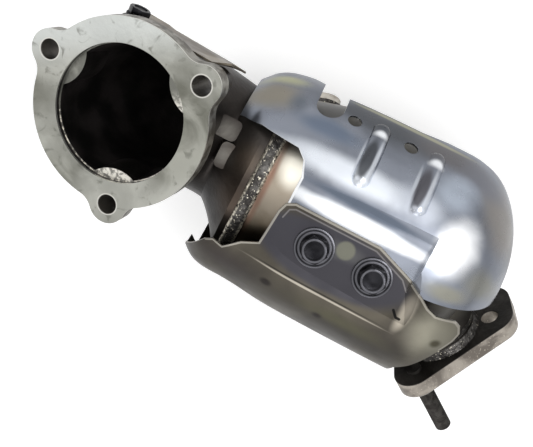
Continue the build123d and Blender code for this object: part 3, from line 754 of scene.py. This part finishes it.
CASTING = Finish(
    "cast_iron_heat_stained", (0.055, 0.048, 0.043), (0.026, 0.022, 0.02), Grain.CAST,
    patch_size=0.02, metallic=0.8, smooth=0.34, rough=0.5, relief=0.25,
    tints=(
        Tint((0.0503, 0.010, -0.0275), 0.010, (0.2, 0.19, 0.17), 0.95),
        Tint((0.0555, -0.003, -0.0235), 0.009, (0.2, 0.19, 0.17), 0.85),
        Tint((0.068, -0.02, -0.02), 0.022, (0.09, 0.065, 0.048), 0.7),
        # Painted shade: the lower side of the neck is darkened almost to black.
        Tint((0.054, -0.034, -0.037), 0.03, (0.01, 0.008, 0.007), 0.97),
        Tint((0.066, 0.002, -0.022), 0.014, (0.13, 0.1, 0.075), 0.7),
    ),
)
BEAD = Finish(
    "weld_bead_rough", (0.1, 0.095, 0.09), (0.035, 0.032, 0.03), Grain.BEAD,
    patch_size=0.003, metallic=0.85, smooth=0.3, rough=0.5, relief=0.7,
    speck=(0.75, 0.7, 0.58), speck_share=0.2,
)
CONE = Finish(
    "cone_straw_tint", (0.26, 0.225, 0.18), (0.15, 0.12, 0.085), Grain.SHEET,
    patch_size=0.03, smooth=0.3, rough=0.42, relief=0.05,
    stains_and_light=(
        # The pale patch at 55 degrees is a painted highlight, the dark patches at 112 and 160 degrees are
        # painted shade on the side turned from the light, and the reddish band by the bead is heat tint.
        StainAndLight(0.092, 55.0, 0.012, 20.0, (0.78, 0.75, 0.66), 0.95, 0.3),
        StainAndLight(0.092, 112.0, 0.03, 28.0, (0.045, 0.036, 0.024), 0.9),
        StainAndLight(0.092, 160.0, 0.04, 40.0, (0.035, 0.028, 0.02), 0.95),
        StainAndLight(0.0822, 72.0, 0.0028, 60.0, (0.17, 0.085, 0.06), 0.75),
        StainAndLight(0.094, 10.0, 0.03, 28.0, (0.075, 0.075, 0.075), 0.95, 0.4),
    ),
)
SHELL = Finish(
    "shell_sheet", (0.07, 0.065, 0.055), (0.03, 0.027, 0.024), Grain.SHEET,
    smooth=0.35, rough=0.5, relief=0.05,
)
PLATE = Finish(
    "cut_plate_mottled", (0.38, 0.345, 0.3), (0.16, 0.14, 0.12), Grain.PLATE,
    patch_size=0.007, metallic=0.7, smooth=0.4, rough=0.6, relief=0.7,
    speck=(0.5, 0.45, 0.38), speck_share=0.2,
)
STUD = Finish(
    "stud_dark", (0.07, 0.066, 0.06), (0.03, 0.027, 0.025), Grain.PLATE, patch_size=0.003, metallic=0.8,
    smooth=0.35, rough=0.55, relief=0.4,
)
# FRONT_EDGE, LOWER_EDGE and LOWER_BEAD are drawn as lines of painted highlight along the shield edges and the
# bead; SLIT is drawn as a line of painted shade.
FRONT_EDGE = (
    (0.053, 0.034), (0.066, 0.0382), (0.088, 0.0382), (0.0935, 0.0347), (0.0967, 0.028), (0.0967, 0.0),
)
LOWER_EDGE = (
    (0.0668, -0.0279), (0.0703, -0.0251), (0.0764, -0.0268), (0.0841, -0.0179), (0.0928, -0.0124),
    (0.0942, 0.0078), (0.0958, 0.0125), (0.1003, 0.0147), (0.1488, 0.0147), (0.1687, 0.0076),
    (0.1787, 0.0034), (0.1845, -0.0005), (0.1903, -0.0024), (0.2009, -0.0007), (0.2047, -0.0031),
    (0.2071, -0.0073), (0.2065, -0.0129), (0.2034, -0.0208),
)
LOWER_BEAD = (
    (0.0972, 0.006), (0.0985, 0.011), (0.1015, 0.0125), (0.148, 0.0125), (0.167, 0.0055), (0.1715, 0.001),
)
SLIT = ((0.1705, -0.0105), (0.1735, -0.0135), (0.1755, -0.0135))
SHIELD = Finish(
    "shield_bright", (0.26, 0.28, 0.325), (0.19, 0.205, 0.24), Grain.SHEET,
    patch_size=0.022, smooth=0.24, rough=0.36, relief=0.12, speck=(0.8, 0.82, 0.84),
    painted_light_lines=(PaintedLightLine(FRONT_EDGE, 0.0007, (0.82, 0.83, 0.84), 0.85),),
    stains_and_light=(
        # The yellowish and brownish patches are heat tint; the pale, white and blue-grey ones are painted
        # highlights and reflections, the dark ones painted reflections and shade, and the thin dark and pale
        # marks by the ribs painted shade and highlights.
        StainAndLight(0.125, 19.0, 0.06, 18.0, (0.085, 0.09, 0.1), 0.95, 0.2),
        StainAndLight(0.162, 17.0, 0.03, 13.0, (0.13, 0.125, 0.13), 0.9, 0.2),
        StainAndLight(0.098, 36.0, 0.026, 8.0, (0.15, 0.19, 0.26), 0.8, 0.2),
        StainAndLight(0.064, 25.0, 0.02, 17.0, (0.26, 0.235, 0.185), 0.85, 0.2),
        StainAndLight(0.078, 27.0, 0.008, 12.0, (0.12, 0.14, 0.17), 0.8),
        StainAndLight(0.066, 8.0, 0.018, 9.0, (0.45, 0.45, 0.26), 0.8, 0.2),
        StainAndLight(0.14, 9.5, 0.045, 2.4, (0.42, 0.41, 0.28), 0.75, 0.3),
        StainAndLight(0.205, 32.0, 0.024, 26.0, (0.23, 0.215, 0.2), 0.9, 0.2),
        StainAndLight(0.185, 20.0, 0.02, 12.0, (0.17, 0.175, 0.2), 0.8, 0.2),
        StainAndLight(0.115, 52.5, 0.055, 9.5, (0.8, 0.84, 0.9), 0.97, 0.3),
        StainAndLight(0.158, 51.0, 0.02, 11.0, (0.66, 0.7, 0.78), 0.9, 0.2),
        StainAndLight(0.172, 38.0, 0.016, 14.0, (0.44, 0.49, 0.57), 0.9, 0.3),
        StainAndLight(0.184, 60.0, 0.017, 19.0, (0.95, 0.96, 0.98), 0.97, 0.35),
        StainAndLight(0.207, 70.0, 0.02, 13.0, (0.25, 0.25, 0.225), 0.9, 0.2),
        StainAndLight(0.19, 81.0, 0.018, 6.0, (0.33, 0.32, 0.26), 0.8, 0.2),
        StainAndLight(0.135, 71.0, 0.06, 5.5, (0.85, 0.87, 0.9), 0.97, 0.5),
        StainAndLight(0.135, 63.4, 0.05, 3.3, (0.1, 0.12, 0.155), 0.93, 0.4),
        StainAndLight(0.122, 43.0, 0.0044, 15.0, (0.075, 0.08, 0.09), 0.95, 0.5),
        StainAndLight(0.1538, 44.0, 0.0044, 15.0, (0.1, 0.098, 0.11), 0.95, 0.5),
        StainAndLight(0.1182, 42.0, 0.0014, 13.0, (0.5, 0.53, 0.58), 0.85, 0.3),
        StainAndLight(0.15, 42.0, 0.0014, 13.0, (0.5, 0.53, 0.58), 0.85, 0.3),
        StainAndLight(0.1262, 42.0, 0.0018, 14.0, (0.6, 0.63, 0.68), 0.9, 0.3),
        StainAndLight(0.1582, 42.0, 0.0018, 14.0, (0.6, 0.63, 0.68), 0.9, 0.3),
        StainAndLight(0.1234, 28.0, 0.0055, 3.2, (0.9, 0.92, 0.95), 0.95, 0.2),
        StainAndLight(0.1566, 28.3, 0.006, 3.6, (0.9, 0.92, 0.95), 0.95, 0.2),
    ),
)
LOWER_SHIELD = Finish(
    "shield_olive", (0.085, 0.076, 0.06), (0.048, 0.043, 0.036), Grain.SHEET,
    patch_size=0.024, smooth=0.34, rough=0.5, relief=0.1, speck=(0.42, 0.4, 0.36),
    painted_light_lines=(
        PaintedLightLine(LOWER_EDGE, 0.0007, (0.36, 0.34, 0.3), 0.65),
        PaintedLightLine(LOWER_BEAD, 0.0005, (0.2, 0.19, 0.19), 0.6),
        PaintedLightLine(SLIT, 0.0009, (0.008, 0.008, 0.008), 0.95),
    ),
    stains_and_light=(
        StainAndLight(0.13, 92.0, 0.052, 17.5, (0.048, 0.047, 0.055), 0.95, 0.75),
        StainAndLight(0.133, 86.0, 0.02, 6.0, (0.1, 0.1, 0.1), 0.7, 0.2),
        StainAndLight(0.15, 121.0, 0.04, 9.0, (0.105, 0.1, 0.062), 0.7),
        StainAndLight(0.08, 124.0, 0.03, 16.0, (0.05, 0.042, 0.04), 0.8),
        StainAndLight(0.198, 101.0, 0.024, 24.0, (0.21, 0.2, 0.16), 0.95, 0.2),
        StainAndLight(0.1765, 98.0, 0.005, 15.0, (0.32, 0.29, 0.24), 0.9, 0.2),
        # A pale line beside a dark one along the fold: painted highlight and painted shade.
        StainAndLight(0.131, 110.6, 0.052, 0.9, (0.36, 0.33, 0.28), 0.9, 0.4),
        StainAndLight(0.131, 109.2, 0.052, 0.7, (0.015, 0.014, 0.014), 0.7, 0.4),
        StainAndLight(0.1056, 120.9, 0.0045, 3.6, (0.02, 0.016, 0.015), 0.9, 0.3),
        StainAndLight(0.1387, 124.8, 0.0045, 3.6, (0.02, 0.016, 0.015), 0.9, 0.3),
        StainAndLight(0.199, 105.2, 0.0045, 3.8, (0.055, 0.05, 0.032), 0.9, 0.3),
    ),
    rings=(Ring(0.1339, -0.0055, 0.0, 0.0058, (0.15, 0.15, 0.12), 0.85),),
)
SMALL_SHIELD = Finish(
    "shield_small_brown", (0.33, 0.29, 0.23), (0.15, 0.125, 0.1), Grain.SHEET,
    patch_size=0.012, smooth=0.3, rough=0.45, relief=0.1,
)
BOLT = Finish(
    "bolt_black_oxide", (0.026, 0.026, 0.03), (0.009, 0.009, 0.011), Grain.PLATE,
    patch_size=0.004, metallic=0.9, smooth=0.25, rough=0.42, relief=0.12,
    # The pale rings are painted highlights on the rims of the washers and bolt flanges.
    rings=tuple(
        Ring(x, FIXING_SIDE, radius, 0.0006, (0.13, 0.13, 0.145), 0.8)
        for x in FIXING_XS for radius in (0.0103, 0.0083, 0.0058)
    ),
)
BOSS = Finish(
    "boss_turned", (0.5, 0.47, 0.42), (0.3, 0.27, 0.23), Grain.PLATE,
    patch_size=0.005, smooth=0.25, rough=0.4, relief=0.2,
)
BRICK = Finish(
    "ceramic_brick", (0.6, 0.52, 0.4), (0.45, 0.38, 0.28), Grain.CAST,
    metallic=0.0, smooth=0.85, rough=0.95, relief=0.2,
)
MAT = Finish(
    "fibre_mat", (0.8, 0.78, 0.72), (0.65, 0.62, 0.56), Grain.FIBRE,
    metallic=0.0, smooth=0.9, rough=1.0, relief=0.8,
)


@dataclass
class Assembly:
    """A group of the object's pieces that is dressed together."""

    nodes: dict[str, bpy.types.Object]
    made: list[str] = field(default_factory=list)

    def dress(self, name: str, material: bpy.types.Material) -> None:
        """Give a carried-over piece its material.

        Args:
            name: The piece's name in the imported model.
            material: Its material.
        """
        target = self.nodes[name]
        target.data.materials.clear()
        target.data.materials.append(material)
        self.made.append(name)

    def smooth_copy(
        self, name: str, label: str, material: bpy.types.Material, slot: str, rounding: float
    ) -> None:
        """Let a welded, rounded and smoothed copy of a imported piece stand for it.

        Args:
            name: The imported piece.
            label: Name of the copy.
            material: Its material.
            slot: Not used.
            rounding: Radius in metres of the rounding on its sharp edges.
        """
        bpy.ops.object.select_all(action="DESELECT")
        copy = self.nodes[name].copy()
        copy.data = self.nodes[name].data.copy()
        copy.parent = None
        copy.name = label
        for key in list(copy.keys()):
            if key.startswith("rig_"):
                del copy[key]
        bpy.context.scene.collection.objects.link(copy)
        copy.data.materials.clear()
        copy.data.materials.append(material)
        bpy.context.view_layer.objects.active = copy
        copy.select_set(True)
        bpy.ops.object.mode_set(mode="EDIT")
        bpy.ops.mesh.select_all(action="SELECT")
        bpy.ops.mesh.remove_doubles(threshold=MERGE_PACKED)
        bpy.ops.object.mode_set(mode="OBJECT")
        bevel = copy.modifiers.new("rounding", "BEVEL")
        bevel.width = rounding
        bevel.segments = 2
        bevel.limit_method = "ANGLE"
        bevel.angle_limit = radians(BEVEL_ANGLE)
        bpy.ops.object.modifier_apply(modifier=bevel.name)
        bpy.ops.object.shade_smooth_by_angle(angle=radians(SMOOTH_ANGLE))
        copy.select_set(False)
        self.stand_in(copy, name)

    def stand_in(self, piece: bpy.types.Object, stands_for: str) -> None:
        """Let a finished piece stand for a packed one and ride on the body.

        Args:
            piece: The finished piece.
            stands_for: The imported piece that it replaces.
        """
        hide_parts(stands_for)
        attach(piece, BODY)
        self.made.append(piece.name)

    def new_piece(
        self, label: str, material: bpy.types.Material, slot: str, stands_for: str,
        place: Matrix, angle: float,
    ) -> None:
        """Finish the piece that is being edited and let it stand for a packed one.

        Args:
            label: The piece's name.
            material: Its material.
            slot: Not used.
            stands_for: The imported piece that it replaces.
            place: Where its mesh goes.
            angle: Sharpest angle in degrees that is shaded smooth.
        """
        bpy.ops.mesh.select_all(action="SELECT")
        bpy.ops.mesh.remove_doubles(threshold=MERGE_NEW)
        bpy.ops.mesh.normals_make_consistent(inside=False)
        bpy.ops.object.mode_set(mode="OBJECT")
        piece = bpy.context.active_object
        for modifier in list(piece.modifiers):
            bpy.ops.object.modifier_apply(modifier=modifier.name)
        piece.data.transform(place)
        piece.name = label
        piece.data.materials.append(material)
        bpy.ops.object.shade_smooth_by_angle(angle=radians(angle))
        piece.select_set(False)
        self.stand_in(piece, stands_for)

    def report(self) -> None:
        """Log each piece of the group."""
        for name in self.made:
            LOG.info("%s: %s", type(self).__name__, name)


@dataclass
class Can(Assembly):
    """The cone, the shell, the bricks in it and the cap."""

    ring_r: float = 0.0495
    bead_width: float = 0.0084
    bead_height: float = 0.0024
    bead_steps: int = 420
    bead_sides: int = 18
    lump_size: float = 0.0022
    lump_height: float = 0.0007
    lump_level: float = 0.85
    smooth_angle: float = 40.0

    def bead(self, material: bpy.types.Material) -> None:
        """Model the coarse bead round the mouth of the casting.

        Args:
            material: The bead's material.
        """
        bpy.ops.object.select_all(action="DESELECT")
        bpy.ops.mesh.primitive_torus_add(
            major_segments=self.bead_steps, minor_segments=self.bead_sides,
            major_radius=self.ring_r, minor_radius=self.bead_height,
        )
        bead = bpy.context.active_object
        bpy.ops.object.mode_set(mode="EDIT")
        bpy.ops.mesh.select_all(action="SELECT")
        bpy.ops.transform.resize(value=(1.0, 1.0, self.bead_width / 2 / self.bead_height))
        lumps = bpy.data.textures.new("bead_lumps", "CLOUDS")
        lumps.noise_scale = self.lump_size
        lumps.noise_depth = 2
        rough = bead.modifiers.new("lumps", "DISPLACE")
        rough.texture = lumps
        rough.texture_coords = "LOCAL"
        rough.strength = self.lump_height
        rough.mid_level = self.lump_level
        place = Matrix.Translation((BEAD_X, CAN_Y, CAN_Z)) @ Matrix.Rotation(pi / 2, 4, "Y")
        self.new_piece("coarse_bead", material, "weld", "inlet_weld_bead", place, self.smooth_angle)

    def build(self) -> None:
        """Model the bead and dress the can's pieces."""
        self.bead(BeadMaterial(BEAD).build())
        weld = MetalMaterial(BEAD).build()
        cone = MetalMaterial(CONE).build()
        shell = MetalMaterial(SHELL).build()
        boss = MetalMaterial(BOSS).build()
        brick = HoneycombMaterial(BRICK).build()
        mat = MetalMaterial(MAT).build()
        for name in ("inlet_weld_bead", "can_rear_weld", "sensor_boss_weld"):
            self.dress(name, weld)
        for name in ("inlet_cone", "can_front_weld"):
            self.dress(name, cone)
        for name in ("can_shell", "outlet_cone"):
            self.dress(name, shell)
        for name in ("sensor_boss", "front_shield_boss", "rear_shield_boss", "back_bracket"):
            self.dress(name, boss)
        for place in ("front", "rear"):
            self.dress(f"{place}_substrate", brick)
            self.dress(f"{place}_support_mat", mat)


@dataclass
class Inlet(Assembly):
    """The cast elbow with its flange and its small shield."""

    bolt_rounding: float = 0.00035

    def build(self) -> None:
        """Dress the elbow and the small shield, and round its screw."""
        self.dress("inlet_casting", CastingMaterial(CASTING).build())
        self.dress("inlet_heat_shield", MetalMaterial(SMALL_SHIELD).build())
        bolt = MetalMaterial(BOLT).build()
        self.dress("inlet_shield_bolt", bolt)
        self.dress("inlet_shield_washer", bolt)
        self.smooth_copy("inlet_shield_bolt", "small_shield_screw", bolt, "bolt", self.bolt_rounding)


@dataclass
class Outlet(Assembly):
    """The short pipe, its flange and the stud."""

    face_reach: float = 0.0838
    stud_circle: float = 0.0325
    stud_turn: float = radians(123.7)
    root_r: float = 0.0046
    root_length: float = 0.0125
    crest_r: float = 0.00497
    valley_r: float = 0.00435
    pitch: float = 0.00128
    threads: int = 29
    flank_share: float = 0.4
    flat_share: float = 0.1
    shoulder: float = 0.0002
    plain_length: float = 0.0009
    root_stand: float = 0.0005
    point_length: float = 0.001
    point_ratio: float = 0.8
    stud_sides: int = 40
    smooth_angle: float = 25.0

    def stud(self, material: bpy.types.Material) -> None:
        """Model the stud with its thread and its blunt point.

        Args:
            material: The stud's material.
        """
        bpy.ops.object.select_all(action="DESELECT")
        bpy.ops.mesh.primitive_circle_add(vertices=self.stud_sides, radius=self.root_r, fill_type="NGON")
        bpy.ops.object.mode_set(mode="EDIT")
        bpy.ops.mesh.select_all(action="SELECT")
        steps = [
            (self.root_length, 1.0), (self.shoulder, self.crest_r / self.root_r), (self.plain_length, 1.0),
        ]
        for _ in range(self.threads):
            steps.append((self.pitch * self.flank_share, self.valley_r / self.crest_r))
            steps.append((self.pitch * self.flat_share, 1.0))
            steps.append((self.pitch * self.flank_share, self.crest_r / self.valley_r))
            steps.append((self.pitch * self.flat_share, 1.0))
        steps.append((self.point_length, self.point_ratio))
        for rise, ratio in steps:
            bpy.ops.mesh.extrude_region_move(TRANSFORM_OT_translate={"value": (0.0, 0.0, rise)})
            bpy.ops.transform.resize(value=(ratio, ratio, 1.0))
        level = Vector((-sin(OUTLET_SWING), cos(OUTLET_SWING), 0.0))
        way = Vector(OUTLET_WAY)
        steep = way.cross(level)
        foot = Vector(OUTLET_PIVOT) + way * (self.face_reach - self.root_length + self.root_stand)
        foot += (level * cos(self.stud_turn) + steep * sin(self.stud_turn)) * self.stud_circle
        place = Matrix.Translation(foot) @ Matrix((level, steep, way)).transposed().to_4x4()
        self.new_piece("threaded_stud", material, "stud", "outlet_stud", place, self.smooth_angle)

    def build(self) -> None:
        """Model the stud and dress the outlet's pieces."""
        stud = MetalMaterial(STUD).build()
        self.dress("outlet_stud", stud)
        self.stud(stud)
        self.dress("outlet_flange", PlateMaterial(PLATE).build())
        self.dress("outlet_pipe", MetalMaterial(SHELL).build())
        weld = MetalMaterial(BEAD).build()
        self.dress("collar_weld", weld)
        self.dress("outlet_flange_weld", weld)


@dataclass
class Shields(Assembly):
    """Both large shields and the bolts that hold them."""

    bolt_rounding: float = 0.00045

    def build(self) -> None:
        """Dress the shields and washers and round the bolts."""
        for name, finish in (("front_heat_shield", SHIELD), ("lower_heat_shield", LOWER_SHIELD)):
            self.dress(name, PressedMaterial(finish).build())
        bolt = MetalMaterial(BOLT).build()
        for place in ("front", "rear"):
            self.dress(f"{place}_shield_bolt", bolt)
            self.dress(f"{place}_shield_washer", bolt)
            for part, label, slot in (("bolt", "flange_bolt", "bolt"), ("washer", "dished_washer", "washer")):
                name = f"{place}_shield_{part}"
                self.smooth_copy(name, f"{place}_{label}", bolt, slot, self.bolt_rounding)


@dataclass
class Studio:
    """Camera, floor, lamps and world."""

    floor_z: float = -0.1415
    floor_size: float = 12.0
    floor_tone: float = 0.93
    floor_rough: float = 0.9
    floor_glow: float = 0.3
    world_light: float = 0.55
    world_seen: float = 1.0
    eye: Point = (0.077217872, 0.160331665, 0.423276967)
    right: Point = (0.887289, 0.43561, -0.151532)
    up: Point = (-0.460201, 0.81443, -0.353439)
    back: Point = (-0.030549, 0.383338, 0.923103)
    lens: float = 60.79
    aim: Point = (0.09, -0.02, -0.07)

    def camera(self) -> None:
        """Set the camera at the photograph's viewing angle."""
        data = bpy.data.cameras.new("camera")
        data.sensor_width = 36.0
        data.sensor_fit = "HORIZONTAL"
        data.lens = self.lens
        data.clip_start = 0.01
        data.clip_end = 20.0
        camera = bpy.data.objects.new("camera", data)
        turn = Matrix((self.right, self.up, self.back)).transposed().to_4x4()
        camera.matrix_world = Matrix.Translation(self.eye) @ turn
        bpy.context.scene.collection.objects.link(camera)
        bpy.context.scene.camera = camera

    def lamp(self, name: str, place: Point, size: float, power: float) -> None:
        """Add a soft square lamp that faces the object.

        Args:
            name: The lamp's name.
            place: Where it hangs.
            size: Its side in metres.
            power: Its power in watts.
        """
        data = bpy.data.lights.new(name, "AREA")
        data.size = size
        data.energy = power
        lamp = bpy.data.objects.new(name, data)
        towards = Vector(self.aim) - Vector(place)
        lamp.rotation_euler = towards.to_track_quat("-Z", "Y").to_euler()
        lamp.location = place
        bpy.context.scene.collection.objects.link(lamp)

    def floor(self) -> None:
        """Lay a pale floor that shows white and keeps the object's shadow."""
        bpy.ops.object.select_all(action="DESELECT")
        bpy.ops.mesh.primitive_plane_add(size=self.floor_size, location=(0.0, 0.0, self.floor_z))
        floor = bpy.context.active_object
        floor.name = "floor"
        sheet = NodeSheet("floor_pale")
        sheet.shader.inputs["Base Color"].default_value = (*(self.floor_tone,) * 3, 1.0)
        sheet.shader.inputs["Roughness"].default_value = self.floor_rough
        sheet.shader.inputs["Emission Color"].default_value = (1.0, 1.0, 1.0, 1.0)
        path = sheet.tree.nodes.new("ShaderNodeLightPath")
        glow = sheet.times(path.outputs["Is Camera Ray"], self.floor_glow)
        sheet.link(glow, sheet.shader.inputs["Emission Strength"])
        floor.data.materials.append(sheet.material)

    def world(self) -> None:
        """A plain world: white to the eye and in reflections, softer as light."""
        world = bpy.data.worlds.new("studio")
        bpy.context.scene.world = world
        world.use_nodes = True
        tree = world.node_tree
        tree.nodes.clear()
        output = tree.nodes.new("ShaderNodeOutputWorld")
        background = tree.nodes.new("ShaderNodeBackground")
        background.inputs["Color"].default_value = (1.0, 1.0, 1.0, 1.0)
        path = tree.nodes.new("ShaderNodeLightPath")
        seen = tree.nodes.new("ShaderNodeMath")
        seen.operation = "MAXIMUM"
        tree.links.new(path.outputs["Is Camera Ray"], seen.inputs[0])
        shiny = tree.nodes.new("ShaderNodeMath")
        shiny.operation = "MAXIMUM"
        tree.links.new(path.outputs["Is Glossy Ray"], shiny.inputs[0])
        tree.links.new(path.outputs["Is Transmission Ray"], shiny.inputs[1])
        tree.links.new(shiny.outputs[0], seen.inputs[1])
        strength = tree.nodes.new("ShaderNodeMapRange")
        strength.inputs["To Min"].default_value = self.world_light
        strength.inputs["To Max"].default_value = self.world_seen
        tree.links.new(seen.outputs[0], strength.inputs["Value"])
        tree.links.new(strength.outputs["Result"], background.inputs["Strength"])
        tree.links.new(background.outputs["Background"], output.inputs["Surface"])

    def build(self) -> None:
        """Set up the whole studio."""
        self.camera()
        self.floor()
        self.world()
        self.lamp("key", (0.45, 0.35, 0.75), 0.5, 4.0)
        self.lamp("fill", (-0.5, 0.3, 0.6), 0.7, 1.8)
        self.lamp("rim", (0.3, -0.7, 0.5), 0.6, 1.8)
        bpy.context.scene.view_settings.view_transform = "Standard"


def main() -> None:
    """Build every piece of the scene and report it."""
    logging.basicConfig(level=logging.INFO, format="%(message)s")
    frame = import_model()
    nodes = frame["nodes"]
    for kind in (Can, Inlet, Outlet, Shields):
        group = kind(nodes)
        group.build()
        group.report()
    Studio().build()


if __name__ == "__main__":
    main()
